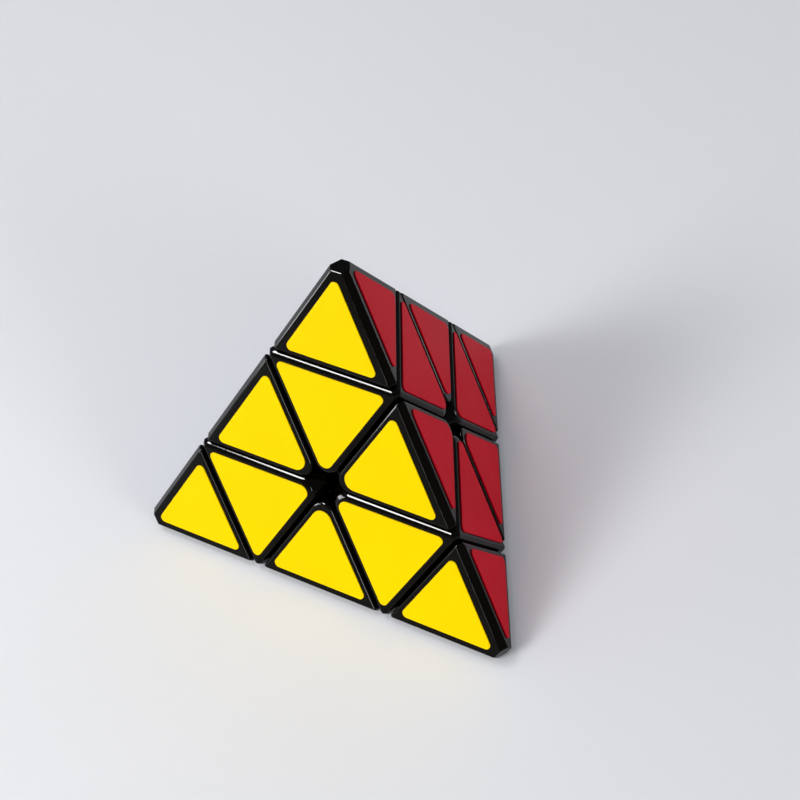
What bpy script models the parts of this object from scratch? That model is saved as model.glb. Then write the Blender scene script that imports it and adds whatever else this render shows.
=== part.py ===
"""Pyramid twisty puzzle: a tetrahedron, 98 mm along a sharp edge, cut by two planes near each corner.

Frame: metres, +Z up. The origin is the middle of the core, where the four turning axes cross.
The puzzle stands on its green face. The yellow face looks along -Y, the red one to the right
and the blue one to the left. A corner's axis is the unit vector from the origin to that corner,
and a point's height on an axis is its dot product with it.

How it works: four screws hold the four centre pieces on the core, each with a spring under the
screw's head, so each centre turns on its own corner's axis. A tip is snapped into the top of each
centre. An edge piece has two curved tongues, one past each of its inner planes. A tongue lies in
the round track that the neighbouring centres have about that corner's axis, so it is held in
while its layer turns, whichever layer that is.
"""
import math

import bmesh
import bpy
from mathutils import Matrix, Vector

# Driving dimensions, in metres.
EDGE = 0.098  # sharp edge of the pyramid
RUN_GAP = 0.0005  # gap between neighbouring pieces
EDGE_FLAT = 0.0020  # width of the flat strip along an outer edge
CORNER_CUT = 0.0053  # height cut off a sharp corner
MOULD_BREAK = 0.0008  # width of the flat along a broken edge of a moulded piece
SHARP = math.radians(25.0)  # an edge that turns less than this isn't broken
HOLE_FILLET = 0.0036  # between two inner sides of a piece, where it meets the middle of a face

TRACK_WIDTH = 0.0050  # round track that the tongues run in
TRACK_DEPTH = 0.0025
TRACK_MARGIN = 0.0021  # from the track to the edge pieces it passes
TONGUE_CLEAR = 0.00015  # each side of a tongue in its track
TONGUE_END_CLEAR = 0.0002
TONGUE_HALF_ANGLE = math.radians(30.0)
ROOT = 0.0025  # how far a tongue, boss or spigot goes into the block it is moulded with

CORE_CLEAR = 0.0013  # from the core's ball to the tracks
SEAT_GAP = 0.0003  # from a centre's foot to its flat on the core
FOOT_RADIUS = 0.0050
FLOOR = 0.0023  # thickness of a centre's floor, which the spring presses on
BORE_RADIUS = 0.0040
SCREW_RADIUS = 0.0015
SCREW_CLEAR = 0.0003  # round the screw in a centre's floor
THREAD_CLEAR = 0.0002  # round the screw in the core
SCREW_END = 0.0025  # height of the screw's point, which leaves a web between the four holes
HEAD_CLEAR = 0.0001  # round the head as it goes in through the lip
HEAD_SIDE = 0.0013  # straight part of the head's height
HEAD_HEIGHT = 0.0022
SHOULDER = 0.0012  # from the flat part of the head's top out to its side
SLOT_WIDTH = 0.0008
SLOT_LENGTH = 0.0043
SLOT_DEPTH = 0.0011
POINT_TAPER = 0.00075  # of the screw's end, in length and in radius
SPRING_LENGTH = 0.0108  # as fitted
SPRING_TURNS = 6
WIRE_RADIUS = 0.00035
SPRING_SIDE_GAP = 0.0004  # from the spring's outside to the bore
TOUCH_GAP = 0.0002  # between pieces that rest on each other

LIP_DEPTH = 0.0014  # from a centre's top to the lip that holds the tip
LIP_HEIGHT = 0.0012
LIP_REACH = 0.0008  # how far the lip stands into the bore
SPIGOT_CLEAR = 0.0003  # between the tip's spigot and the centre
BARB_REACH = 0.0007
BARB_HEIGHT = 0.0016
SPIGOT_SLOT = 0.0010

RIM = 0.0016  # black border round the sticker of a tip or an edge
CENTRE_RIM = 0.0013  # the same on a centre, whose stickers are larger
STICKER_THICKNESS = 0.00025
STICKER_GLUE = 0.00005
STICKER_FILLET = 0.0011
EDGE_HOLE_FILLET = 0.0024  # of an edge's sticker, at the middle of a face
CENTRE_HOLE_FILLET = 0.0018

# Steps of the round shapes.
TRACK_STEPS = 48
TURNED_STEPS = 24
FILLET_STEPS = 4
HOLE_STEPS = 7
WIRE_POINTS = 9  # per turn of a spring

# What follows from the tetrahedron's shape.
HEIGHT = EDGE * math.sqrt(2.0 / 3.0)
FACE_DISTANCE = HEIGHT / 4.0
CORNER_DISTANCE = 3.0 * FACE_DISTANCE
LAYER_PLANE = HEIGHT / 12.0
TIP_PLANE = 5.0 * HEIGHT / 12.0
HALF_GAP = RUN_GAP / 2.0
AXIS_LEAN = math.sqrt(8.0) / 3.0  # sideways part of one axis, seen from another
CELL_SIDE = EDGE / 3.0
CELL_HEIGHT = CELL_SIDE * math.sqrt(3.0) / 2.0

# What fits between the pieces, outwards from the core.
TRACK_FLOOR = LAYER_PLANE - TRACK_DEPTH
NEAREST_EDGE = (LAYER_PLANE + TRACK_FLOOR / 3.0) / (AXIS_LEAN / 2.0)
TRACK_OUTER = NEAREST_EDGE - TRACK_MARGIN
TRACK_INNER = TRACK_OUTER - TRACK_WIDTH
CORE_RADIUS = math.hypot(TRACK_INNER, TRACK_FLOOR) - CORE_CLEAR
SEAT = LAYER_PLANE - SEAT_GAP
FLOOR_TOP = LAYER_PLANE + HALF_GAP + FLOOR
SPRING_FOOT = FLOOR_TOP + TOUCH_GAP
SPRING_HEAD = SPRING_FOOT + SPRING_LENGTH
HEAD_FOOT = SPRING_HEAD + TOUCH_GAP
SPRING_RADIUS = BORE_RADIUS - SPRING_SIDE_GAP - WIRE_RADIUS
LIP_RADIUS = BORE_RADIUS - LIP_REACH
HEAD_RADIUS = LIP_RADIUS - HEAD_CLEAR

CORNERS = {
    "top": Vector((0.0, 0.0, 1.0)),
    "left": Vector((-AXIS_LEAN * math.sin(math.pi / 3), -AXIS_LEAN / 2, -1 / 3)),
    "right": Vector((AXIS_LEAN * math.sin(math.pi / 3), -AXIS_LEAN / 2, -1 / 3)),
    "back": Vector((0.0, AXIS_LEAN, -1 / 3)),
}
# Each face's colour, by the corner opposite.
FACES = {"yellow": "back", "red": "left", "blue": "right", "green": "top"}
EDGES = (("top", "left"), ("top", "right"), ("top", "back"),
         ("left", "right"), ("right", "back"), ("left", "back"))
FINISHES = {
    "black_plastic": ((0.006, 0.006, 0.007), 0.22, 0.0),
    "core_plastic": ((0.05, 0.05, 0.055), 0.45, 0.0),
    "steel": ((0.60, 0.60, 0.62), 0.28, 1.0),
    "yellow": ((1.0, 0.72, 0.0), 0.35, 0.0),
    "red": ((0.56, 0.005, 0.02), 0.35, 0.0),
    "blue": ((0.01, 0.09, 0.52), 0.35, 0.0),
    "green": ((0.01, 0.33, 0.06), 0.35, 0.0),
}


def clear_scene():
    for item in list(bpy.data.objects):
        bpy.data.objects.remove(item, do_unlink=True)


def finish(name):
    """The material of this name, made the first time it is asked for."""
    material = bpy.data.materials.get(name)
    if material is None:
        colour, roughness, metallic = FINISHES[name]
        material = bpy.data.materials.new(name)
        material.use_nodes = True
        shader = material.node_tree.nodes["Principled BSDF"]
        shader.inputs["Base Color"].default_value = (*colour, 1.0)
        shader.inputs["Roughness"].default_value = roughness
        shader.inputs["Metallic"].default_value = metallic
        material.diffuse_color = (*colour, 1.0)
    return material


def mesh_from(bm, name):
    bmesh.ops.recalc_face_normals(bm, faces=bm.faces[:])
    mesh = bpy.data.meshes.new(name)
    bm.to_mesh(mesh)
    bm.free()
    return mesh


def place(name, mesh, frame, parent=None):
    """A named object of this mesh in this frame."""
    item = bpy.data.objects.new(name, mesh)
    bpy.context.scene.collection.objects.link(item)
    item.matrix_world = frame
    if parent is not None:
        item.parent = parent
        item.matrix_parent_inverse = parent.matrix_world.inverted()
    return item


def combined(name, body, added=(), cut=()):
    """One mesh: the body, joined with each added solid and cut by each cutter."""
    block = place(name, mesh_from(body, name), Matrix())
    tools = []
    for operation, solids in (("UNION", added), ("DIFFERENCE", cut)):
        for solid in solids:
            tool = place(name + "_tool", mesh_from(solid, name + "_tool"), Matrix())
            tool.hide_render = True
            tool.display_type = "WIRE"
            modifier = block.modifiers.new(operation.lower(), "BOOLEAN")
            modifier.operation = operation
            modifier.solver = "EXACT"
            modifier.object = tool
            tools.append(tool)
    graph = bpy.context.evaluated_depsgraph_get()
    mesh = bpy.data.meshes.new_from_object(block.evaluated_get(graph))
    for item in (block, *tools):
        bpy.data.objects.remove(item, do_unlink=True)
    return mesh


def frame_of(z_axis, x_axis, origin=Vector()):
    """A right-handed frame with this z axis, and its x axis as near as can be to the one given."""
    z = z_axis.normalized()
    x = (x_axis - z * x_axis.dot(z)).normalized()
    turned = Matrix((x, z.cross(x), z)).transposed()
    return Matrix.Translation(origin) @ turned.to_4x4()


def slice_off(bm, normal, distance):
    """Cut away what lies past a plane, and close the cut."""
    everything = bm.verts[:] + bm.edges[:] + bm.faces[:]
    made = bmesh.ops.bisect_plane(bm, geom=everything, plane_co=normal * distance,
                                  plane_no=normal, clear_outer=True)
    rim = [item for item in made["geom_cut"] if isinstance(item, bmesh.types.BMEdge)]
    bmesh.ops.holes_fill(bm, edges=rim)


def break_edges(bm):
    """Cut a narrow flat along every edge of a convex solid that is sharp."""
    cuts = []
    for edge in bm.edges:
        first, second = edge.link_faces
        lean = first.normal.angle(second.normal)
        outward = (first.normal + second.normal).normalized()
        depth = MOULD_BREAK / 2.0 * math.tan(lean / 2.0)
        if lean > SHARP:
            cuts.append((outward, edge.verts[0].co.dot(outward) - depth))
    for outward, distance in cuts:
        slice_off(bm, outward, distance)


def rounding(first, second, distance):
    """Planes that round the corner between two planes at the same distance, as a fillet does."""
    opening = first.angle(second)
    middle = (first + second).normalized()
    axis_at = (distance - HOLE_FILLET) / math.cos(opening / 2.0)
    planes = []
    for step in range(1, HOLE_STEPS):
        outward = first.slerp(second, step / HOLE_STEPS)
        planes.append((outward, axis_at * middle.dot(outward) + HOLE_FILLET))
    return planes


def block_within(planes):
    """The convex solid inside these planes, with its edges broken."""
    bm = bmesh.new()
    bmesh.ops.create_cube(bm, size=4.0 * EDGE)
    for normal, distance in planes:
        slice_off(bm, normal, distance)
    bm.normal_update()
    break_edges(bm)
    return bm


def lathe(profile, steps, axis_frame=Matrix()):
    """A solid turned about z from points (radius, height) that run from axis to axis, or closed."""
    bm = bmesh.new()
    points = [bm.verts.new((radius, 0.0, height)) for radius, height in profile]
    edges = [bm.edges.new(pair) for pair in zip(points, points[1:])]
    if min(radius for radius, _ in profile) > 0.0:
        edges.append(bm.edges.new((points[-1], points[0])))
    bmesh.ops.spin(bm, geom=points + edges, cent=(0, 0, 0), axis=(0, 0, 1), dvec=(0, 0, 0),
                   angle=math.tau, steps=steps, use_merge=True)
    bmesh.ops.remove_doubles(bm, verts=bm.verts[:], dist=1e-7)
    bmesh.ops.transform(bm, matrix=axis_frame, verts=bm.verts[:])
    return bm


def prism(outline, low, high, frame=Matrix()):
    """A flat outline, extruded along z from low to high."""
    bm = bmesh.new()
    face = bm.faces.new([bm.verts.new((x, y, low)) for x, y in outline])
    made = bmesh.ops.extrude_face_region(bm, geom=[face])
    risen = [item for item in made["geom"] if isinstance(item, bmesh.types.BMVert)]
    bmesh.ops.translate(bm, vec=(0, 0, high - low), verts=risen)
    bmesh.ops.transform(bm, matrix=frame, verts=bm.verts[:])
    return bm


def arc(centre, radius, start, end, steps):
    angles = [start + (end - start) * step / steps for step in range(steps + 1)]
    return [(centre[0] + radius * math.cos(a), centre[1] + radius * math.sin(a)) for a in angles]


def outer_planes(axes, faces):
    """The faces, the flats along the outer edges and the cut corners of a pyramid on these axes."""
    planes = [(-axes[index], FACE_DISTANCE) for index in faces]
    strip = EDGE_FLAT / math.sqrt(2.0)
    ridge = EDGE / math.sqrt(8.0) - strip
    for index, first in enumerate(axes):
        for second in axes[index + 1:]:
            planes.append(((first + second).normalized(), ridge))
    planes += [(axis, CORNER_DISTANCE - CORNER_CUT) for axis in axes]
    return planes


def tongue(own, other):
    """Curved tongue past the plane of its own layer's axis, on the side of the other corner."""
    inner = TRACK_INNER + TONGUE_CLEAR
    outer = TRACK_OUTER - TONGUE_CLEAR
    low = TRACK_FLOOR + TONGUE_END_CLEAR
    high = LAYER_PLANE + HALF_GAP + ROOT
    bm = bmesh.new()
    corners = ((inner, low), (outer, low), (outer, high), (inner, high))
    face = bm.faces.new([bm.verts.new((radius, 0.0, height)) for radius, height in corners])
    bmesh.ops.rotate(bm, verts=bm.verts[:], matrix=Matrix.Rotation(-TONGUE_HALF_ANGLE, 3, "Z"))
    steps = round(TRACK_STEPS * TONGUE_HALF_ANGLE / math.pi)
    bmesh.ops.spin(bm, geom=[face], cent=(0, 0, 0), axis=(0, 0, 1), dvec=(0, 0, 0),
                   angle=2.0 * TONGUE_HALF_ANGLE, steps=steps, use_merge=False)
    bmesh.ops.transform(bm, matrix=frame_of(own, other), verts=bm.verts[:])
    slice_off(bm, -other, -(LAYER_PLANE + HALF_GAP + TONGUE_END_CLEAR))
    return bm


def track(axis):
    """Cutter for the round track about an axis."""
    top = LAYER_PLANE + RUN_GAP
    profile = ((TRACK_INNER, TRACK_FLOOR), (TRACK_OUTER, TRACK_FLOOR), (TRACK_OUTER, top),
               (TRACK_INNER, top))
    return lathe(profile, TRACK_STEPS, frame_of(axis, axis.orthogonal()))


def corner_axes():
    """The four axes as a corner piece has them: its own along z, and the others round it."""
    around = [math.radians(bearing) for bearing in (0, 120, 240)]
    others = [Vector((AXIS_LEAN * math.cos(a), AXIS_LEAN * math.sin(a), -1 / 3)) for a in around]
    return [Vector((0, 0, 1))] + others


def edge_axes():
    """The four axes as an edge piece has them: its own two lean along x, the others along y."""
    side = math.sqrt(2.0 / 3.0)
    rise = math.sqrt(1.0 / 3.0)
    return [Vector((side, 0, rise)), Vector((-side, 0, rise)),
            Vector((0, side, -rise)), Vector((0, -side, -rise))]


def tip_mesh():
    axes = corner_axes()
    foot = TIP_PLANE + HALF_GAP
    planes = outer_planes(axes, (1, 2, 3)) + [(-axes[0], -foot)]
    lip_top = TIP_PLANE - HALF_GAP - LIP_DEPTH
    neck = LIP_RADIUS - SPIGOT_CLEAR
    barb_top = lip_top - LIP_HEIGHT - SPIGOT_CLEAR
    barb_foot = barb_top - BARB_HEIGHT
    profile = ((0.0, foot + ROOT), (neck, foot + ROOT), (neck, barb_top),
               (neck + BARB_REACH, barb_top), (neck, barb_foot), (0.0, barb_foot))
    half_slot = SPIGOT_SLOT / 2.0
    long = 2.0 * BORE_RADIUS
    slot = prism(((-long, -half_slot), (long, -half_slot), (long, half_slot), (-long, half_slot)),
                 barb_foot - TOUCH_GAP, foot - LIP_DEPTH / 2.0)
    return combined("tip", block_within(planes), added=[lathe(profile, TURNED_STEPS)], cut=[slot])


def centre_mesh():
    axes = corner_axes()
    foot = LAYER_PLANE + HALF_GAP
    top = TIP_PLANE - HALF_GAP
    planes = outer_planes(axes, (1, 2, 3)) + [(-axes[0], -foot), (axes[0], top)]
    side = LAYER_PLANE - HALF_GAP
    planes += [(axis, side) for axis in axes[1:]]
    for first, second in ((1, 2), (2, 3), (3, 1)):
        planes += rounding(axes[first], axes[second], side)
    boss = lathe(((0.0, LAYER_PLANE), (FOOT_RADIUS, LAYER_PLANE), (FOOT_RADIUS, foot + ROOT),
                  (0.0, foot + ROOT)), TURNED_STEPS)
    lip_top = top - LIP_DEPTH
    over = top + RUN_GAP
    hole = SCREW_RADIUS + SCREW_CLEAR
    bore = lathe(((0.0, over), (BORE_RADIUS, over), (BORE_RADIUS, lip_top), (LIP_RADIUS, lip_top),
                  (LIP_RADIUS, lip_top - LIP_HEIGHT), (BORE_RADIUS, lip_top - LIP_HEIGHT),
                  (BORE_RADIUS, FLOOR_TOP), (hole, FLOOR_TOP), (hole, SEAT), (0.0, SEAT)),
                 TURNED_STEPS)
    tracks = [track(axis) for axis in axes[1:]]
    return combined("centre", block_within(planes), added=[boss], cut=[bore, *tracks])


def edge_mesh():
    axes = edge_axes()
    foot = LAYER_PLANE + HALF_GAP
    planes = outer_planes(axes, (2, 3)) + [(-axis, -foot) for axis in axes[:2]]
    planes += rounding(-axes[0], -axes[1], -foot)
    tongues = [tongue(axes[0], axes[1]), tongue(axes[1], axes[0])]
    return combined("edge", block_within(planes), added=tongues)


def core_mesh():
    ball = bmesh.new()
    bmesh.ops.create_icosphere(ball, subdivisions=3, radius=CORE_RADIUS)
    holes = []
    radius = SCREW_RADIUS + THREAD_CLEAR
    for axis in CORNERS.values():
        slice_off(ball, axis, SEAT)
        deep = SCREW_END - TOUCH_GAP
        profile = ((0.0, SEAT + SEAT_GAP), (radius, SEAT + SEAT_GAP), (radius, deep), (0.0, deep))
        holes.append(lathe(profile, TURNED_STEPS, frame_of(axis, axis.orthogonal())))
    return combined("core", ball, cut=holes)


def screw_mesh():
    head = HEAD_FOOT + HEAD_HEIGHT
    side = HEAD_FOOT + HEAD_SIDE
    body = lathe(((0.0, head), (HEAD_RADIUS - SHOULDER, head), (HEAD_RADIUS, side),
                  (HEAD_RADIUS, HEAD_FOOT), (SCREW_RADIUS, HEAD_FOOT),
                  (SCREW_RADIUS, SCREW_END + POINT_TAPER),
                  (SCREW_RADIUS - POINT_TAPER, SCREW_END), (0.0, SCREW_END)), TURNED_STEPS)
    slots = []
    half = SLOT_WIDTH / 2.0
    arm = SLOT_LENGTH / 2.0
    for width, length in ((half, arm), (arm, half)):
        outline = ((-width, -length), (width, -length), (width, length), (-width, length))
        slots.append(prism(outline, head - SLOT_DEPTH, head + TOUCH_GAP))
    return combined("screw", body, cut=slots)


def spring_mesh():
    """The spring's wire, as a tube round a helix, between its two flat seats."""
    low = SPRING_FOOT + WIRE_RADIUS
    rise = SPRING_LENGTH - 2.0 * WIRE_RADIUS
    count = SPRING_TURNS * WIRE_POINTS
    curve = bpy.data.curves.new("spring", "CURVE")
    curve.dimensions = "3D"
    curve.bevel_depth = WIRE_RADIUS
    curve.bevel_resolution = 1
    curve.use_fill_caps = True
    wire = curve.splines.new("POLY")
    wire.points.add(count)
    for step, point in enumerate(wire.points):
        angle = math.tau * step / WIRE_POINTS
        point.co = (SPRING_RADIUS * math.cos(angle), SPRING_RADIUS * math.sin(angle),
                    low + rise * step / count, 1.0)
    item = place("spring_wire", curve, Matrix())
    graph = bpy.context.evaluated_depsgraph_get()
    bm = bmesh.new()
    bm.from_mesh(item.evaluated_get(graph).to_mesh())
    bmesh.ops.remove_doubles(bm, verts=bm.verts[:], dist=1e-7)
    bpy.data.objects.remove(item, do_unlink=True)
    return mesh_from(bm, "spring")


def rounded_triangle(corners, insets, fillets):
    """Outline of a triangle with each side moved in and each corner rounded.

    Side n runs from corner n to the next one, anticlockwise.
    """
    points = [Vector(corner) for corner in corners]
    sides = []
    for index, inset in enumerate(insets):
        along = (points[(index + 1) % 3] - points[index]).normalized()
        inward = Vector((-along.y, along.x))
        sides.append((inward, points[index].dot(inward) + inset))
    outline = []
    for index, fillet in enumerate(fillets):
        before, before_at = sides[index - 1]
        after, after_at = sides[index]
        meet = Matrix((before, after)).inverted() @ Vector((before_at + fillet, after_at + fillet))
        start = math.atan2(-before.y, -before.x)
        outline += arc(meet, fillet, start, start + math.radians(120.0), FILLET_STEPS)
    return outline


def sticker_mesh(name, corners, insets, fillets):
    outline = rounded_triangle(corners, insets, fillets)
    return mesh_from(prism(outline, STICKER_GLUE, STICKER_GLUE + STICKER_THICKNESS), name)


def sticker_meshes():
    """The three shapes of sticker, in a face's frame, with y towards the piece they are on."""
    half = CELL_SIDE / 2.0
    cut = HALF_GAP / AXIS_LEAN
    groove = cut + RIM
    flat = EDGE_FLAT * math.sqrt(3.0) / 2.0 + RIM
    inner = ((0.0, 0.0), (half, CELL_HEIGHT), (-half, CELL_HEIGHT))
    outer = ((-half, CELL_HEIGHT), (half, CELL_HEIGHT), (0.0, 2.0 * CELL_HEIGHT))
    return {
        "tip": sticker_mesh("tip_sticker", outer, (groove, flat, flat), (STICKER_FILLET,) * 3),
        "centre": sticker_mesh("centre_sticker", inner, (cut + CENTRE_RIM,) * 3,
                               (CENTRE_HOLE_FILLET, STICKER_FILLET, STICKER_FILLET)),
        "edge": sticker_mesh("edge_sticker", inner, (groove, flat, groove),
                             (EDGE_HOLE_FILLET, STICKER_FILLET, STICKER_FILLET)),
    }


def stick_on(colour, kind, direction, mesh, suffix, piece):
    """One sticker on a piece, on the face of this colour."""
    axis = CORNERS[FACES[colour]]
    frame = frame_of(-axis, direction.cross(-axis), -axis * FACE_DISTANCE)
    sticker = place("sticker_" + colour + "_" + kind + "_" + suffix, mesh, frame, piece)
    sticker.material_slots[0].link = "OBJECT"
    sticker.material_slots[0].material = finish(colour)


def dressed(mesh, material):
    """The mesh with this finish, its round surfaces smooth and its edges sharp."""
    mesh.materials.clear()
    mesh.materials.append(finish(material))
    mesh.shade_smooth()
    mesh.set_sharp_from_angle(angle=math.radians(30.0))
    return mesh


def build():
    clear_scene()
    tip = dressed(tip_mesh(), "black_plastic")
    centre = dressed(centre_mesh(), "black_plastic")
    edge = dressed(edge_mesh(), "black_plastic")
    screw = dressed(screw_mesh(), "steel")
    spring = dressed(spring_mesh(), "steel")
    stickers = sticker_meshes()
    for mesh in stickers.values():
        dressed(mesh, "yellow")
    core = place("core", dressed(core_mesh(), "core_plastic"), Matrix())
    for corner, axis in CORNERS.items():
        neighbour = next(other for name, other in CORNERS.items() if name != corner)
        frame = frame_of(axis, neighbour)
        centre_piece = place("centre_" + corner, centre, frame, core)
        tip_piece = place("tip_" + corner, tip, frame, centre_piece)
        place("screw_" + corner, screw, frame, core)
        place("spring_" + corner, spring, frame, core)
        for colour, opposite in FACES.items():
            if opposite != corner:
                stick_on(colour, "tip", axis, stickers["tip"], corner, tip_piece)
                stick_on(colour, "centre", axis, stickers["centre"], corner, centre_piece)
    for first, second in EDGES:
        outward = CORNERS[first] + CORNERS[second]
        frame = frame_of(outward, CORNERS[first] - CORNERS[second])
        edge_piece = place("edge_" + first + "_" + second, edge, frame, core)
        for colour, opposite in FACES.items():
            if opposite not in (first, second):
                suffix = first + "_" + second
                stick_on(colour, "edge", outward, stickers["edge"], suffix, edge_piece)


build()
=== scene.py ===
"""Looks of the pyramid twisty puzzle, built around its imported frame.

Every moulded piece is a convex block with rounded edges, as a mould makes it, with its tongues,
tracks and bore. Every face carries nine vinyl stickers. Screws and springs are made again, finer.
"""
import math

import bmesh
import bpy
from mathutils import Matrix, Vector


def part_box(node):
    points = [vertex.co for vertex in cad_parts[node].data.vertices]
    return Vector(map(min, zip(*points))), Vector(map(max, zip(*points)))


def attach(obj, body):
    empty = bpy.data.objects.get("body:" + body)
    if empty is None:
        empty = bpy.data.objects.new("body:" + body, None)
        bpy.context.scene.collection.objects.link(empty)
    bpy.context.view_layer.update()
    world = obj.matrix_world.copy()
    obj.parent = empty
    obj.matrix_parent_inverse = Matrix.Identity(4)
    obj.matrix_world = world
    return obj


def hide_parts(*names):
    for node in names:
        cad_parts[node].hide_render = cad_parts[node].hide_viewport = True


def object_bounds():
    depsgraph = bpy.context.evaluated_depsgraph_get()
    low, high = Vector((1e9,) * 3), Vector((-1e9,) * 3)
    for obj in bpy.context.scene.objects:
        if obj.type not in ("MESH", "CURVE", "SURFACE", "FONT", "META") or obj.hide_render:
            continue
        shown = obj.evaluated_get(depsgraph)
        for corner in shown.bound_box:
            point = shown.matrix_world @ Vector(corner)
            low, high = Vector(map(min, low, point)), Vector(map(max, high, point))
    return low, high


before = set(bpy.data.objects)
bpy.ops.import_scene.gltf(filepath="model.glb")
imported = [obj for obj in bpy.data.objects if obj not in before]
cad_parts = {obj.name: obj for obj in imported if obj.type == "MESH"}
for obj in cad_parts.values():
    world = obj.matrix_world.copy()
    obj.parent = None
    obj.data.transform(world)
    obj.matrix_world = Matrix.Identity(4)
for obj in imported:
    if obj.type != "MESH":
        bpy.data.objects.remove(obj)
cad_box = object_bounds()

# The puzzle's own sizes, from the frame. Distances are from the middle of the core.
FACE_DISTANCE = -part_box("edge_left_right")[0].z
EDGE = FACE_DISTANCE * math.sqrt(24.0)  # of the sharp pyramid
LAYER_PLANE = FACE_DISTANCE / 3.0  # where a layer turns on the rest
TIP_PLANE = 5.0 * LAYER_PLANE  # where a tip turns on its centre
HALF_GAP = TIP_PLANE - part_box("centre_top")[1].z
CUT_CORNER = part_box("tip_top")[1].z
STICKER_TOP = -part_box("sticker_green_centre_left")[0].z - FACE_DISTANCE  # above a face
STICKER_FOOT = -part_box("sticker_green_centre_left")[1].z - FACE_DISTANCE
AXIS_LEAN = math.sqrt(8.0) / 3.0  # sideways part of one axis, seen from another
CELL_SIDE = EDGE / 3.0
CELL_HEIGHT = CELL_SIDE * math.sqrt(3.0) / 2.0

# Sizes of what is seen, in metres.
EDGE_FLAT = 0.0020  # flat strip along an outer edge
HOLE_FILLET = 0.0036  # of the pieces' corners that meet at the middle of a face
ROLL = 0.0010  # width of the roll on each side of an edge beside a groove
CREASE = 0.00038  # radius of the other moulded edges
RIM = 0.0016  # black border round the sticker of a tip or an edge
CENTRE_RIM = 0.0013  # the same on a centre, whose stickers are larger
STICKER_FILLET = 0.0011
EDGE_HOLE_FILLET = 0.0024  # of an edge's sticker, at the middle of a face
CENTRE_HOLE_FILLET = 0.0018
STICKER_ROUNDING = 0.00006  # of a sticker's upper edge

# Sizes of the mechanism, in metres.
TRACK_WIDTH = 0.0050  # round track that the tongues run in
TRACK_DEPTH = 0.0025
TRACK_MARGIN = 0.0021  # from the track to the edge pieces it passes
TONGUE_CLEAR = 0.00015  # each side of a tongue in its track
TONGUE_END_CLEAR = 0.0002
TONGUE_HALF_ANGLE = math.radians(30.0)
ROOT = 0.0025  # how far a tongue, boss or spigot goes into the block it is moulded with
CORE_CLEAR = 0.0013  # from the core's ball to the tracks
CORE_HOLE = 0.0017
COUNTERSINK = 0.0003
POINT_CLEAR = 0.0002  # from a screw's point to the end of its hole
FOOT_RADIUS = 0.0050  # of the boss under a centre
FLOOR = 0.0023  # thickness of a centre's floor, which the spring presses on
BORE_RADIUS = 0.0040
SCREW_HOLE = 0.0018  # radius of the hole in a centre's floor
LIP_DEPTH = 0.0014  # from a centre's top to the lip that holds the tip
LIP_HEIGHT = 0.0012
LIP_REACH = 0.0008  # how far the lip stands into the bore
SPIGOT_CLEAR = 0.0003  # between the tip's spigot and the centre
BARB_REACH = 0.0007
BARB_HEIGHT = 0.0016
SPIGOT_SLOT = 0.0010
SCREW_RADIUS = 0.00137  # of the shank between the threads
THREAD_RADIUS = 0.00163
THREAD_PITCH = 0.0006
THREAD_HALF = 0.4 * THREAD_PITCH  # half the height of a thread's root
THREAD_TURNS = 5.5
HEAD_CLEAR = 0.0001  # round the head as it goes in through the lip
HEAD_HEIGHT = 0.0022
DOME_HEIGHT = 0.0011  # of the head's rounded upper part
DOME_REACH = 0.0012  # from the flat part of the head's top out to its side
NECK_FILLET = 0.0003  # under the head
SLOT_WIDTH = 0.0008
SLOT_LENGTH = 0.0043
SLOT_DEPTH = 0.0011
POINT_TAPER = 0.00075  # of the screw's end, in length and in radius
WIRE_RADIUS = 0.00035
SPRING_SIDE_GAP = 0.0004  # from the spring's outside to the bore
SPRING_TURNS = 6

# What fits between the pieces.
TRACK_FLOOR = LAYER_PLANE - TRACK_DEPTH
NEAREST_EDGE = (LAYER_PLANE + TRACK_FLOOR / 3.0) / (AXIS_LEAN / 2.0)
TRACK_OUTER = NEAREST_EDGE - TRACK_MARGIN
TRACK_INNER = TRACK_OUTER - TRACK_WIDTH
FOOT = LAYER_PLANE + HALF_GAP  # of a centre
TOP = TIP_PLANE - HALF_GAP
LIP_TOP = TOP - LIP_DEPTH
LIP_RADIUS = BORE_RADIUS - LIP_REACH

# Steps of the round shapes.
CREASE_STEPS = 5
ROLL_STEPS = 8
HOLE_STEPS = 12
STICKER_STEPS = 10
STICKER_ROUNDING_STEPS = 3
TONGUE_STEPS = 20
TRACK_STEPS = 120
TURNED_STEPS = 64
DOME_STEPS = 8
BALL_DIVISIONS = 5
THREAD_STEPS = 30  # per turn
SPRING_STEPS = 40  # per turn
WIRE_SIDES = 12

# Angles between two faces, by which an edge is judged.
FLAT = math.radians(0.2)  # below this they are one face
SOFT = math.radians(18.0)  # below this they belong to one curved surface
SHARP = math.radians(42.0)  # above this the edge is shaded as sharp
STEPPED = math.radians(70.0)  # a turn that gets the full number of a crease's steps
OPPOSED = math.radians(150.0)  # above this a wall isn't next to the outside

CORNERS = {
    "top": Vector((0.0, 0.0, 1.0)),
    "left": Vector((-AXIS_LEAN * math.sin(math.pi / 3), -AXIS_LEAN / 2, -1 / 3)),
    "right": Vector((AXIS_LEAN * math.sin(math.pi / 3), -AXIS_LEAN / 2, -1 / 3)),
    "back": Vector((0.0, AXIS_LEAN, -1 / 3)),
}
FACES = {"yellow": "back", "red": "left", "blue": "right", "green": "top"}
EDGES = (("top", "left"), ("top", "right"), ("top", "back"),
         ("left", "right"), ("right", "back"), ("left", "back"))

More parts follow.
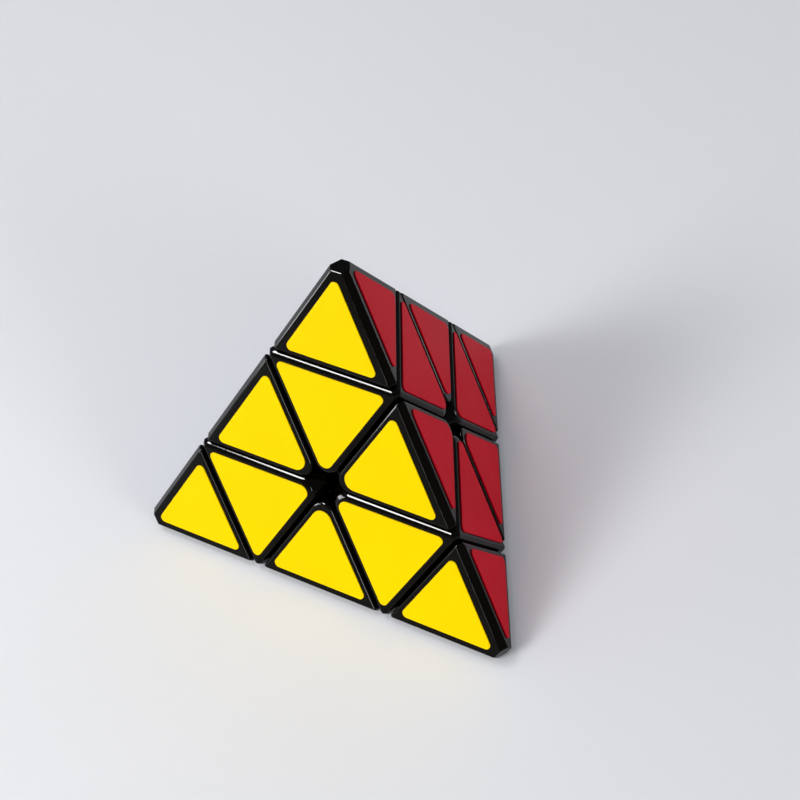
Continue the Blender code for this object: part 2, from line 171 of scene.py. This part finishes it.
# The camera, and the lights round it.
CAMERA_PLACE = Vector((0.16609, -0.21718, 0.30383))
CAMERA_AIM = Vector((0.00234, 0.01004, 0.00638))
CAMERA_ROLL = math.radians(-8.694)
CAMERA_LENS = 83.04
SENSOR = 36.0
TABLE_GAP = 0.00005  # from the lowest stickers to the table top
TABLE_REACH = 8.0
SKY_COLOUR = (0.85, 0.88, 0.95, 1.0)
SKY_STRENGTH = 0.38
WHITE = (1.0, 1.0, 1.0)
# Soft lights: place, size, power and colour. They light the surfaces but make no reflections.
SOFTBOXES = (
    ("key", (-0.88, -1.88, 1.38), (0.88, 0.88), 35.0, WHITE),
    ("fill", (1.90, -0.62, 0.45), (0.90, 0.60), 18.0, (1.0, 0.97, 0.97)),
)
# Bright cards that only the gloss shows: place, size and power.
CARDS = (
    ("overhead_card", (-0.33, -0.08, 0.75), (0.50, 0.22), 60.0),
    ("left_card", (-0.30, -0.20, 0.07), (0.24, 0.16), 5.5),
    ("front_card", (0.29, -0.72, 0.20), (0.10, 0.30), 4.5),
    ("right_card", (0.64, 0.48, 0.10), (0.12, 0.24), 3.0),
)


# ---------------------------------------------------------------- materials

class Number:
    """A number on a socket, which takes Python's arithmetic and adds the Math nodes for it."""

    def __init__(self, recipe, socket):
        self.recipe = recipe
        self.socket = socket

    def math(self, operation, *values):
        """The result of a Math node on these values."""
        node = self.recipe.node("ShaderNodeMath", {"operation": operation})
        for slot, value in zip(node.inputs, values):
            self.recipe.feed(slot, value)
        return Number(self.recipe, node.outputs[0])

    def __add__(self, other):
        return self.math("ADD", self, other)

    def __radd__(self, other):
        return self.math("ADD", other, self)

    def __sub__(self, other):
        return self.math("SUBTRACT", self, other)

    def __rsub__(self, other):
        return self.math("SUBTRACT", other, self)

    def __mul__(self, other):
        return self.math("MULTIPLY", self, other)

    def __rmul__(self, other):
        return self.math("MULTIPLY", other, self)

    def __pow__(self, other):
        return self.math("POWER", self, other)

    def between(self, low, high):
        """0 below low, 1 above high, and a smooth rise from one to the other."""
        node = self.recipe.node("ShaderNodeMapRange", {"interpolation_type": "SMOOTHSTEP"},
                                Value=self, **{"From Min": low, "From Max": high})
        return Number(self.recipe, node.outputs[0])


class Recipe:
    """A material and the nodes that are added to it."""

    def __init__(self, name):
        self.material = bpy.data.materials.new(name)
        self.material.use_nodes = True
        self.tree = self.material.node_tree
        self.shader = self.tree.nodes["Principled BSDF"]
        self.place = self.node("ShaderNodeTexCoord").outputs["Object"]

    def feed(self, slot, value):
        """Link a number or a socket to a slot, or set the slot to a plain value."""
        if isinstance(value, Number):
            self.tree.links.new(value.socket, slot)
        elif isinstance(value, bpy.types.NodeSocket):
            self.tree.links.new(value, slot)
        else:
            slot.default_value = value

    def node(self, kind, settings=None, **values):
        """A new node with these settings, and these values on its slots."""
        node = self.tree.nodes.new(kind)
        for name, setting in (settings or {}).items():
            setattr(node, name, setting)
        for name, value in values.items():
            self.feed(node.inputs[name], value)
        return node

    def noise(self, scale, detail=2.0, roughness=0.5, stretch=None):
        """Noise in the piece's own place, which a stretch makes finer along an axis."""
        place = self.place
        if stretch is not None:
            place = self.node("ShaderNodeMapping", Vector=place, Scale=stretch).outputs[0]
        node = self.node("ShaderNodeTexNoise", Vector=place, Scale=scale, Detail=detail,
                         Roughness=roughness)
        return Number(self, node.outputs["Fac"])

    def blend(self, amount, first, second):
        """A colour from the first at 0 to the second at 1."""
        node = self.node("ShaderNodeMix", {"data_type": "RGBA"}, Factor=amount)
        colour_a, colour_b = node.inputs[6], node.inputs[7]
        self.feed(colour_a, (*first, 1.0))
        self.feed(colour_b, (*second, 1.0))
        return node.outputs[2]

    def finish(self, colour, roughness, height=None, depth=0.0, **constants):
        """The material, with a bump of this depth where a height is given."""
        self.feed(self.shader.inputs["Base Color"], colour)
        self.feed(self.shader.inputs["Roughness"], roughness)
        if height is not None:
            bump = self.node("ShaderNodeBump", Height=height, Distance=depth)
            self.feed(self.shader.inputs["Normal"], bump.outputs[0])
        for name, value in constants.items():
            self.shader.inputs[name.replace("_", " ")].default_value = value
        return self.material


def black_plastic():
    """Polished black moulding: handling smudges, a faint flow texture and hairline scratches."""
    recipe = Recipe("black_plastic")
    smudge = recipe.noise(95.0, 3.0).between(0.42, 0.72)
    flow = recipe.noise(700.0, 2.0)
    scratch = recipe.noise(420.0, 4.0, 0.6, (1.0, 14.0, 1.0)).between(0.60, 0.74)
    colour = recipe.blend(smudge, (0.0012, 0.0008, 0.0003), (0.0019, 0.0014, 0.0008))
    return recipe.finish(colour, 0.085 + smudge * 0.03 + scratch * 0.03,
                         flow * 0.8 + scratch * 0.2, 0.000010, Specular_IOR_Level=0.075)


def core_plastic():
    """Plain moulding of the core, with an even satin grain."""
    recipe = Recipe("core_plastic")
    cloud = recipe.noise(160.0, 3.0)
    grain = recipe.noise(2600.0, 2.0)
    colour = recipe.blend(cloud, (0.011, 0.011, 0.012), (0.016, 0.016, 0.017))
    return recipe.finish(colour, 0.38 + cloud * 0.12, grain, 0.000010)


def steel():
    """Zinc-plated steel, with turning marks and a slight tarnish."""
    recipe = Recipe("steel")
    tarnish = recipe.noise(240.0, 3.0).between(0.35, 0.75)
    marks = recipe.noise(900.0, 2.0, 0.5, (0.2, 0.2, 9.0))
    colour = recipe.blend(tarnish, (0.62, 0.62, 0.63), (0.45, 0.44, 0.42))
    return recipe.finish(colour, 0.2 + tarnish * 0.14 + marks * 0.08, marks, 0.000008,
                         Metallic=1.0)


def vinyl(name, light, deep):
    """Smooth vinyl: a barely seen cloudiness, fine grain and a few rubbed spots."""
    recipe = Recipe(name)
    cloud = recipe.noise(55.0, 3.0).between(0.3, 0.75)
    grain = recipe.noise(3200.0, 2.0)
    rubbed = recipe.noise(140.0, 4.0, 0.65).between(0.55, 0.8)
    colour = recipe.blend(cloud * 0.8 + grain * 0.2, light, deep)
    return recipe.finish(colour, 0.30 + rubbed * 0.10 + grain * 0.06,
                         grain * 0.6 + cloud * 0.4, 0.000010, Specular_IOR_Level=0.015)


def pale_floor():
    """Plain pale table top."""
    recipe = Recipe("pale_floor")
    cloud = recipe.noise(9.0, 3.0)
    colour = recipe.blend(cloud, (0.74, 0.75, 0.78), (0.77, 0.78, 0.80))
    return recipe.finish(colour, 0.8 + cloud * 0.1)


FINISHES = {
    "black_plastic": black_plastic(),
    "core_plastic": core_plastic(),
    "steel": steel(),
    "yellow_sticker": vinyl("yellow_vinyl", (0.96, 0.655, 0.0), (0.94, 0.630, 0.0)),
    "red_sticker": vinyl("red_vinyl", (0.51, 0.002, 0.014), (0.46, 0.001, 0.011)),
    "blue_sticker": vinyl("blue_vinyl", (0.012, 0.085, 0.50), (0.010, 0.075, 0.45)),
    "green_sticker": vinyl("green_vinyl", (0.012, 0.34, 0.065), (0.010, 0.31, 0.055)),
}


# ---------------------------------------------------------------- modelling

def frame_of(z_axis, x_axis, origin=Vector()):
    """A right-handed frame with this z axis, and its x axis as near as can be to the one given."""
    z = z_axis.normalized()
    x = (x_axis - z * x_axis.dot(z)).normalized()
    turned = Matrix((x, z.cross(x), z)).transposed()
    return Matrix.Translation(origin) @ turned.to_4x4()


def sliced(bm, normal, distance, **cleared):
    """Cut a solid by a plane, clear the side that is named, and close the cut."""
    everything = bm.verts[:] + bm.edges[:] + bm.faces[:]
    made = bmesh.ops.bisect_plane(bm, geom=everything, plane_co=normal * distance,
                                  plane_no=normal, **cleared)
    rim = [item for item in made["geom_cut"] if isinstance(item, bmesh.types.BMEdge)]
    bmesh.ops.holes_fill(bm, edges=rim)


def block(planes):
    """The convex solid inside these planes, each an outward normal and a distance."""
    bm = bmesh.new()
    bmesh.ops.create_cube(bm, size=4.0 * EDGE)
    for normal, distance in planes:
        sliced(bm, normal, distance, clear_outer=True)
    bm.normal_update()
    return bm


def rounded_block(planes, radius, steps):
    """The same solid with every edge and corner rolled to a radius.

    A ball's patch is put at each corner of a smaller block, and the hull of them all is taken.
    """
    inner = block([(normal, distance - radius) for normal, distance in planes])
    bm = bmesh.new()
    for corner in inner.verts:
        middle = sum((face.normal for face in corner.link_faces), Vector()).normalized()
        for edge in corner.link_edges:
            first, second = (face.normal for face in edge.link_faces)
            if first.angle(second) < SOFT:
                bm.verts.new(corner.co + radius * first.slerp(second, 0.5))
                continue
            turns = math.ceil(steps * first.angle(second) / STEPPED)
            for step in range(turns + 1):
                outward = first.slerp(second, step / turns)
                for inset in range(turns):
                    bearing = outward.slerp(middle, inset / turns)
                    bm.verts.new(corner.co + radius * bearing)
    inner.free()
    bmesh.ops.remove_doubles(bm, verts=bm.verts[:], dist=radius * 0.01)
    hull = bmesh.ops.convex_hull(bm, input=bm.verts[:])
    spare = [item for item in hull["geom_interior"] + hull["geom_unused"]
             if isinstance(item, bmesh.types.BMVert)]
    bmesh.ops.delete(bm, geom=list(dict.fromkeys(spare)), context="VERTS")
    bmesh.ops.dissolve_limit(bm, angle_limit=FLAT, verts=bm.verts[:], edges=bm.edges[:])
    bmesh.ops.recalc_face_normals(bm, faces=bm.faces[:])
    return bm


def outer_planes(axes, faces):
    """The faces, the flats along the outer edges and the cut corners of a pyramid on these axes."""
    shell = [(-axes[index], FACE_DISTANCE) for index in faces]
    ridge = (EDGE - 2.0 * EDGE_FLAT) / math.sqrt(8.0)
    flats = []
    for index, first in enumerate(axes):
        for second in axes[index + 1:]:
            flats.append(((first + second).normalized(), ridge))
    return shell, flats, [(axis, CUT_CORNER) for axis in axes]


def fillet(first, second, radius, steps):
    """Planes that round the edge between two planes, each an outward normal and a distance."""
    lean = first[0].dot(second[0])
    one, two = first[1] - radius, second[1] - radius
    axis_point = (first[0] * (one - lean * two) + second[0] * (two - lean * one)) / (1 - lean ** 2)
    planes = []
    for step in range(1, steps):
        outward = first[0].slerp(second[0], step / steps)
        planes.append((outward, outward.dot(axis_point) + radius))
    return planes


def rolled(shell, walls):
    """Planes that roll the edges where the outside meets the walls of the grooves."""
    planes = []
    for outside in shell:
        for wall in walls:
            turn = outside[0].angle(wall[0])
            if turn < OPPOSED:
                planes += fillet(outside, wall, ROLL / math.tan(turn / 2.0), ROLL_STEPS)
    return planes


def moulded(axes, faces, walls, meeting):
    """A moulded block: its outside, its walls, and the rounded corners where two walls meet."""
    shell, flats, cuts = outer_planes(axes, faces)
    corners = []
    for first, second in meeting:
        corners += fillet(first, second, HOLE_FILLET, HOLE_STEPS)
    rolls = rolled(shell, walls + corners) + rolled(flats, walls)
    return rounded_block(shell + flats + cuts + walls + corners + rolls, CREASE, CREASE_STEPS)


def corner_axes():
    """The four axes as a corner piece has them: its own along z, and the others round it."""
    around = [math.radians(bearing) for bearing in (0, 120, 240)]
    others = [Vector((AXIS_LEAN * math.cos(a), AXIS_LEAN * math.sin(a), -1 / 3)) for a in around]
    return [Vector((0, 0, 1))] + others


def edge_axes():
    """The four axes as an edge piece has them: its own two lean along x, the others along y."""
    side = math.sqrt(2.0 / 3.0)
    rise = math.sqrt(1.0 / 3.0)
    return [Vector((side, 0, rise)), Vector((-side, 0, rise)),
            Vector((0, side, -rise)), Vector((0, -side, -rise))]


def lathe(profile, steps, place=Matrix()):
    """A solid turned about z from points (radius, height) that run from axis to axis, or closed."""
    bm = bmesh.new()
    points = [bm.verts.new((radius, 0.0, height)) for radius, height in profile]
    edges = [bm.edges.new(pair) for pair in zip(points, points[1:])]
    if min(radius for radius, _ in profile) > 0.0:
        edges.append(bm.edges.new((points[-1], points[0])))
    bmesh.ops.spin(bm, geom=points + edges, cent=(0, 0, 0), axis=(0, 0, 1), dvec=(0, 0, 0),
                   angle=math.tau, steps=steps, use_merge=True)
    bmesh.ops.remove_doubles(bm, verts=bm.verts[:], dist=1e-7)
    bmesh.ops.recalc_face_normals(bm, faces=bm.faces[:])
    bmesh.ops.transform(bm, matrix=place, verts=bm.verts[:])
    return bm


def carved(body, added=(), cut=()):
    """The body joined with each added solid and cut by each cutter."""
    def stand(bm):
        mesh = bpy.data.meshes.new("blank")
        bm.to_mesh(mesh)
        bm.free()
        item = bpy.data.objects.new("blank", mesh)
        bpy.context.scene.collection.objects.link(item)
        return item

    work = stand(body)
    tools = []
    for operation, solids in (("UNION", added), ("DIFFERENCE", cut)):
        for solid in solids:
            tool = stand(solid)
            step = work.modifiers.new(operation.lower(), "BOOLEAN")
            step.operation = operation
            step.solver = "EXACT"
            step.object = tool
            tools.append(tool)
    graph = bpy.context.evaluated_depsgraph_get()
    result = bmesh.new()
    result.from_mesh(work.evaluated_get(graph).to_mesh())
    for item in (work, *tools):
        bpy.data.objects.remove(item, do_unlink=True)
    return result


def tongue(own, other):
    """Curved tongue past the plane of its own layer's axis, on the side of the other corner."""
    low = TRACK_FLOOR + TONGUE_END_CLEAR
    inner = TRACK_INNER + TONGUE_CLEAR
    outer = TRACK_OUTER - TONGUE_CLEAR
    bm = bmesh.new()
    corners = ((inner, low), (outer, low), (outer, FOOT + ROOT), (inner, FOOT + ROOT))
    face = bm.faces.new([bm.verts.new((radius, 0.0, height)) for radius, height in corners])
    bmesh.ops.rotate(bm, verts=bm.verts[:], matrix=Matrix.Rotation(-TONGUE_HALF_ANGLE, 3, "Z"))
    bmesh.ops.spin(bm, geom=[face], cent=(0, 0, 0), axis=(0, 0, 1), dvec=(0, 0, 0),
                   angle=2.0 * TONGUE_HALF_ANGLE, steps=TONGUE_STEPS, use_merge=False)
    bmesh.ops.transform(bm, matrix=frame_of(own, other), verts=bm.verts[:])
    sliced(bm, other, FOOT + TONGUE_END_CLEAR, clear_inner=True)
    bmesh.ops.recalc_face_normals(bm, faces=bm.faces[:])
    return bm


def track(axis):
    """Cutter for the round track about an axis."""
    top = LAYER_PLANE + 2.0 * HALF_GAP
    profile = ((TRACK_INNER, TRACK_FLOOR), (TRACK_OUTER, TRACK_FLOOR), (TRACK_OUTER, top),
               (TRACK_INNER, top))
    return lathe(profile, TRACK_STEPS, frame_of(axis, axis.orthogonal()))


def tip_block():
    """A tip with the slotted, barbed spigot that snaps into its centre."""
    axes = corner_axes()
    foot = TIP_PLANE + HALF_GAP
    block_only = moulded(axes, (1, 2, 3), [(-axes[0], -foot)], [])
    neck = LIP_RADIUS - SPIGOT_CLEAR
    barb_top = LIP_TOP - LIP_HEIGHT - SPIGOT_CLEAR
    barb_foot = barb_top - BARB_HEIGHT
    spigot = lathe(((0.0, foot + ROOT), (neck, foot + ROOT), (neck, barb_top),
                    (neck + BARB_REACH, barb_top), (neck, barb_foot), (0.0, barb_foot)),
                   TURNED_STEPS)
    slot = bmesh.new()
    low, high = barb_foot - ROOT, foot - LIP_DEPTH / 2.0
    size = Matrix.Diagonal((4.0 * BORE_RADIUS, SPIGOT_SLOT, high - low, 1.0))
    bmesh.ops.create_cube(slot, size=1.0,
                          matrix=Matrix.Translation((0, 0, (low + high) / 2.0)) @ size)
    return carved(block_only, [spigot], [slot])


def centre_block():
    """A centre with its boss, its stepped bore and the three tracks that it crosses."""
    axes = corner_axes()
    sides = [(axis, LAYER_PLANE - HALF_GAP) for axis in axes[1:]]
    meeting = list(zip(sides, sides[1:] + sides[:1]))
    block_only = moulded(axes, (1, 2, 3), [(-axes[0], -FOOT), (axes[0], TOP)] + sides, meeting)
    boss = lathe(((0.0, LAYER_PLANE), (FOOT_RADIUS, LAYER_PLANE), (FOOT_RADIUS, FOOT + ROOT),
                  (0.0, FOOT + ROOT)), TURNED_STEPS)
    over, under = TOP + HALF_GAP, LAYER_PLANE - HALF_GAP
    floor_top = FOOT + FLOOR
    bore = lathe(((0.0, over), (BORE_RADIUS, over), (BORE_RADIUS, LIP_TOP), (LIP_RADIUS, LIP_TOP),
                  (LIP_RADIUS, LIP_TOP - LIP_HEIGHT), (BORE_RADIUS, LIP_TOP - LIP_HEIGHT),
                  (BORE_RADIUS, floor_top), (SCREW_HOLE, floor_top), (SCREW_HOLE, under),
                  (0.0, under)), TURNED_STEPS)
    return carved(block_only, [boss], [bore] + [track(axis) for axis in axes[1:]])


def edge_block():
    """An edge with its two tongues."""
    axes = edge_axes()
    walls = [(-axis, -FOOT) for axis in axes[:2]]
    block_only = moulded(axes, (2, 3), walls, [walls])
    return carved(block_only, [tongue(axes[0], axes[1]), tongue(axes[1], axes[0])])


def coil(section, pitch, turns, steps):
    """A closed section in the x-z plane, wound round z from its own height upwards."""
    bm = bmesh.new()
    face = bm.faces.new([bm.verts.new((radius, 0.0, height)) for radius, height in section])
    bmesh.ops.spin(bm, geom=[face], cent=(0, 0, 0), axis=(0, 0, 1), dvec=(0, 0, pitch / steps),
                   angle=math.tau * turns, steps=round(turns * steps), use_merge=False)
    bmesh.ops.recalc_face_normals(bm, faces=bm.faces[:])
    return bm


def core_block():
    """The ball that the four screws go into, with a flat and a countersunk hole for each."""
    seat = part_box("core")[1].z
    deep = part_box("screw_top")[0].z - POINT_CLEAR
    ball = bmesh.new()
    bmesh.ops.create_icosphere(ball, subdivisions=BALL_DIVISIONS,
                               radius=math.hypot(TRACK_INNER, TRACK_FLOOR) - CORE_CLEAR)
    holes = []
    for axis in CORNERS.values():
        sliced(ball, axis, seat, clear_outer=True)
        wide = CORE_HOLE + 2.0 * COUNTERSINK
        holes.append(lathe(((0.0, seat + COUNTERSINK), (wide, seat + COUNTERSINK),
                            (CORE_HOLE, seat - COUNTERSINK), (CORE_HOLE, deep), (0.0, deep)),
                           TURNED_STEPS, frame_of(axis, axis.orthogonal())))
    return carved(ball, cut=holes)


def screw_block():
    """A pan-headed screw with a crossed slot and a rolled thread."""
    point, head = (corner.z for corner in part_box("screw_top"))
    head_radius = LIP_RADIUS - HEAD_CLEAR
    under = head - HEAD_HEIGHT
    flat_radius = head_radius - DOME_REACH
    dome = [(flat_radius + DOME_REACH * math.sin(a), head - DOME_HEIGHT * (1.0 - math.cos(a)))
            for a in (math.pi / 2 * step / DOME_STEPS for step in range(DOME_STEPS + 1))]
    body = lathe([(0.0, head)] + dome + [(head_radius, under), (SCREW_RADIUS + NECK_FILLET, under),
                 (SCREW_RADIUS, under - NECK_FILLET), (SCREW_RADIUS, point + POINT_TAPER),
                 (SCREW_RADIUS - POINT_TAPER, point), (0.0, point)], TURNED_STEPS)
    inside = SCREW_RADIUS - NECK_FILLET / 2.0
    start = point + POINT_TAPER
    section = ((inside, start - THREAD_HALF), (THREAD_RADIUS, start),
               (inside, start + THREAD_HALF))
    thread = coil(section, THREAD_PITCH, THREAD_TURNS, THREAD_STEPS)
    slots = []
    for size in ((SLOT_LENGTH, SLOT_WIDTH), (SLOT_WIDTH, SLOT_LENGTH)):
        slot = bmesh.new()
        form = Matrix.Diagonal((*size, 2.0 * SLOT_DEPTH, 1.0))
        bmesh.ops.create_cube(slot, size=1.0, matrix=Matrix.Translation((0, 0, head)) @ form)
        slots.append(slot)
    return carved(body, [thread], slots)


def spring_block():
    """A coil spring as it is fitted, between the centre's floor and the screw's head."""
    low, high = (corner.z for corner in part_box("spring_top"))
    radius = BORE_RADIUS - SPRING_SIDE_GAP - WIRE_RADIUS
    section = arc((radius, low + WIRE_RADIUS), WIRE_RADIUS, 0.0, math.tau, WIRE_SIDES)[:-1]
    rise = high - low - 2.0 * WIRE_RADIUS
    return coil(section, rise / SPRING_TURNS, SPRING_TURNS, SPRING_STEPS)


def arc(centre, radius, start, end, steps):
    """Points along an arc, with both its ends."""
    angles = [start + (end - start) * step / steps for step in range(steps + 1)]
    return [(centre[0] + radius * math.cos(a), centre[1] + radius * math.sin(a)) for a in angles]


def rounded_triangle(corners, insets, fillets):
    """Outline of a triangle with each side moved in and each corner rounded."""
    points = [Vector(corner) for corner in corners]
    sides = []
    for index, inset in enumerate(insets):
        along = (points[(index + 1) % 3] - points[index]).normalized()
        inward = Vector((-along.y, along.x))
        sides.append((inward, points[index].dot(inward) + inset))
    outline = []
    for index, radius in enumerate(fillets):
        before, before_at = sides[index - 1]
        after, after_at = sides[index]
        meet = Matrix((before, after)).inverted() @ Vector((before_at + radius, after_at + radius))
        start = math.atan2(-before.y, -before.x)
        outline += arc(meet, radius, start, start + math.radians(120.0), STICKER_STEPS)
    return outline


def sticker_block(corners, insets, fillets):
    """A die-cut sticker in a face's frame, with its upper edge slightly rolled."""
    bm = bmesh.new()
    outline = rounded_triangle(corners, insets, fillets)
    base = bm.faces.new([bm.verts.new((x, y, STICKER_FOOT)) for x, y in outline])
    made = bmesh.ops.extrude_face_region(bm, geom=[base])
    risen = [item for item in made["geom"] if isinstance(item, bmesh.types.BMVert)]
    bmesh.ops.translate(bm, vec=(0, 0, STICKER_TOP - STICKER_FOOT), verts=risen)
    bmesh.ops.recalc_face_normals(bm, faces=bm.faces[:])
    lid = [edge for edge in bm.edges if all(vert in risen for vert in edge.verts)]
    bmesh.ops.bevel(bm, geom=lid, offset=STICKER_ROUNDING, offset_type="OFFSET",
                    segments=STICKER_ROUNDING_STEPS, profile=0.5, affect="EDGES",
                    clamp_overlap=False, material=-1)
    return bm


def sticker_blocks():
    """The three sticker shapes, each in its place on a face of the pyramid."""
    half = CELL_SIDE / 2.0
    cut = HALF_GAP / AXIS_LEAN
    groove = cut + RIM
    flat = EDGE_FLAT * math.sqrt(3.0) / 2.0 + RIM
    inner = ((0.0, 0.0), (half, CELL_HEIGHT), (-half, CELL_HEIGHT))
    outer = ((-half, CELL_HEIGHT), (half, CELL_HEIGHT), (0.0, 2.0 * CELL_HEIGHT))
    return {
        "tip": sticker_block(outer, (groove, flat, flat), (STICKER_FILLET,) * 3),
        "centre": sticker_block(inner, (cut + CENTRE_RIM,) * 3,
                                (CENTRE_HOLE_FILLET, STICKER_FILLET, STICKER_FILLET)),
        "edge": sticker_block(inner, (groove, flat, groove),
                              (EDGE_HOLE_FILLET, STICKER_FILLET, STICKER_FILLET)),
    }


def piece(name, bm, place, body, slot, node):
    """One finished piece, put in place, riding on its body and standing for its CAD node."""
    copy = bm.copy()
    bmesh.ops.transform(copy, matrix=place, verts=copy.verts[:])
    mesh = bpy.data.meshes.new(name)
    copy.to_mesh(mesh)
    copy.free()
    mesh.materials.clear()
    mesh.materials.append(FINISHES[slot])
    mesh.shade_smooth()
    mesh.set_sharp_from_angle(angle=SHARP)
    item = bpy.data.objects.new(name, mesh)
    bpy.context.scene.collection.objects.link(item)
    weighted = item.modifiers.new("weighted_normals", "WEIGHTED_NORMAL")
    weighted.weight = 50
    weighted.keep_sharp = True
    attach(item, body)
    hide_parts(node)


def stick_on(colour, kind, direction, bm, suffix, body):
    """A sticker on the face of its colour, turned towards the piece's direction."""
    axis = CORNERS[FACES[colour]]
    place = frame_of(-axis, direction.cross(-axis), -axis * FACE_DISTANCE)
    node = "sticker_" + colour + "_" + kind + "_" + suffix
    piece("vinyl_" + colour + "_" + kind + "_" + suffix, bm, place, body,
          colour + "_sticker", node)


def make_pieces():
    """Every piece of the puzzle, from one block of each kind."""
    tip, centre, edge = tip_block(), centre_block(), edge_block()
    screw, spring, stickers = screw_block(), spring_block(), sticker_blocks()
    piece("core_ball", core_block(), Matrix(), "core", "core_plastic", "core")
    for corner, axis in CORNERS.items():
        neighbour = next(other for name, other in CORNERS.items() if name != corner)
        place = frame_of(axis, neighbour)
        piece("moulded_tip_" + corner, tip, place, "tip_" + corner, "black_plastic",
              "tip_" + corner)
        piece("moulded_centre_" + corner, centre, place, "layer_" + corner, "black_plastic",
              "centre_" + corner)
        piece("pan_screw_" + corner, screw, place, "core", "steel", "screw_" + corner)
        piece("coil_spring_" + corner, spring, place, "core", "steel", "spring_" + corner)
        for colour, opposite in FACES.items():
            if opposite != corner:
                stick_on(colour, "tip", axis, stickers["tip"], corner, "tip_" + corner)
                stick_on(colour, "centre", axis, stickers["centre"], corner, "layer_" + corner)
    for first, second in EDGES:
        outward = CORNERS[first] + CORNERS[second]
        place = frame_of(outward, CORNERS[first] - CORNERS[second])
        suffix = first + "_" + second
        piece("moulded_edge_" + suffix, edge, place, "edge_" + suffix, "black_plastic",
              "edge_" + suffix)
        for colour, opposite in FACES.items():
            if opposite not in (first, second):
                stick_on(colour, "edge", outward, stickers["edge"], suffix, "edge_" + suffix)


# ---------------------------------------------------------------- stage

def aim_at(item, place, target, roll=0.0):
    """Put a camera or a light in place, looking at the target."""
    looking = (target - place).to_track_quat("-Z", "Y").to_matrix().to_4x4()
    item.matrix_world = Matrix.Translation(place) @ looking @ Matrix.Rotation(roll, 4, "Z")


def add_camera():
    data = bpy.data.cameras.new("camera")
    data.lens = CAMERA_LENS
    data.sensor_width = SENSOR
    camera = bpy.data.objects.new("camera", data)
    bpy.context.scene.collection.objects.link(camera)
    aim_at(camera, CAMERA_PLACE, CAMERA_AIM, CAMERA_ROLL)
    bpy.context.scene.camera = camera


def add_softbox(name, place, size, power, colour):
    """A rectangular light that looks at the puzzle."""
    data = bpy.data.lights.new(name, "AREA")
    data.shape = "RECTANGLE"
    data.size, data.size_y = size
    data.energy = power
    data.color = colour
    light = bpy.data.objects.new(name, data)
    bpy.context.scene.collection.objects.link(light)
    aim_at(light, Vector(place), Vector())
    return light


def add_stage():
    """The table top, the lights and the sky."""
    bm = bmesh.new()
    bmesh.ops.create_grid(bm, x_segments=1, y_segments=1, size=TABLE_REACH)
    bmesh.ops.translate(bm, vec=(0, 0, cad_box[0][2] - TABLE_GAP), verts=bm.verts[:])
    mesh = bpy.data.meshes.new("floor")
    bm.to_mesh(mesh)
    bm.free()
    mesh.materials.append(pale_floor())
    floor = bpy.data.objects.new("floor", mesh)
    bpy.context.scene.collection.objects.link(floor)
    for name, place, size, power, colour in SOFTBOXES:
        add_softbox(name, place, size, power, colour).visible_glossy = False
    for name, place, size, power in CARDS:
        card = add_softbox(name, place, size, power, WHITE)
        card.visible_diffuse = False
        card.visible_camera = False
    world = bpy.data.worlds.new("studio")
    world.use_nodes = True
    sky = world.node_tree.nodes["Background"]
    sky.inputs["Color"].default_value = SKY_COLOUR
    sky.inputs["Strength"].default_value = SKY_STRENGTH
    bpy.context.scene.world = world
    bpy.context.scene.view_settings.view_transform = "Standard"


make_pieces()
add_stage()
add_camera()
